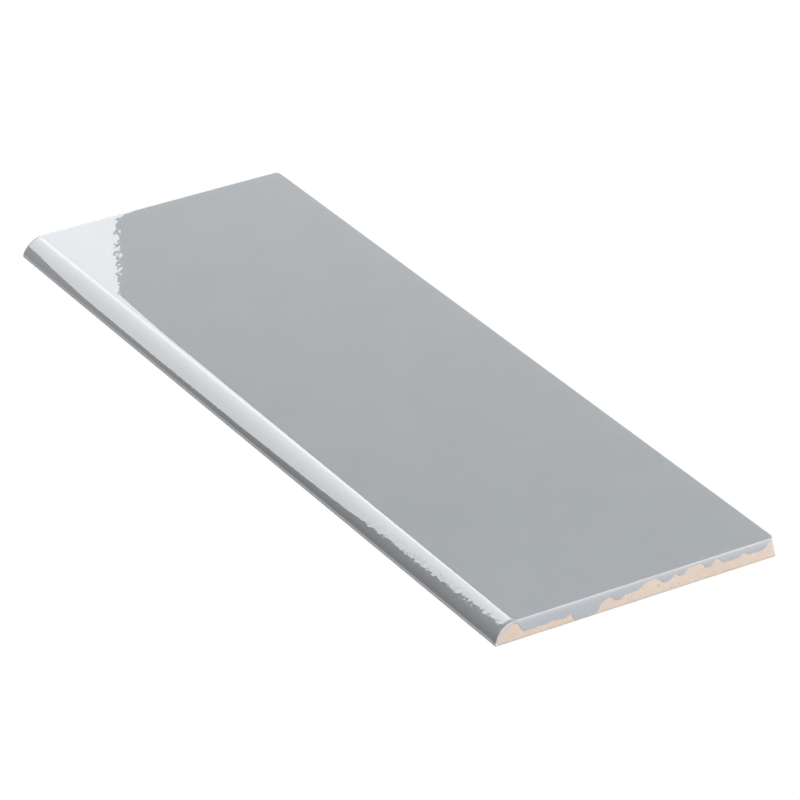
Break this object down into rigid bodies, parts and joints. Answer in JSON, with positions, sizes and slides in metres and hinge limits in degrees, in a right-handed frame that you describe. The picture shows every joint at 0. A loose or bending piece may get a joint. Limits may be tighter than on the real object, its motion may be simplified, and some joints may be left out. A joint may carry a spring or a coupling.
{
  "type": "glazed ceramic bullnose wall tile",
  "caption": "Flat rectangular wall tile with a glossy pale grey glaze, one long edge rounded down to the back, square opposite edge and a keyed, unglazed back.",
  "frame": {"origin": "centre of the tile's back, on the plane of its ribs and border", "axes": "+X across the tile, from the bullnose edge to the square edge; +Y along its length; +Z out of the glazed face"},
  "size_m": [0.1, 0.3, 0.0066],
  "materials": {
    "glaze": "gloss",
    "biscuit": "matte"
  },
  "bodies": {
    "root": {"bullnose_tile": "glaze"}
  },
  "joints": []
}
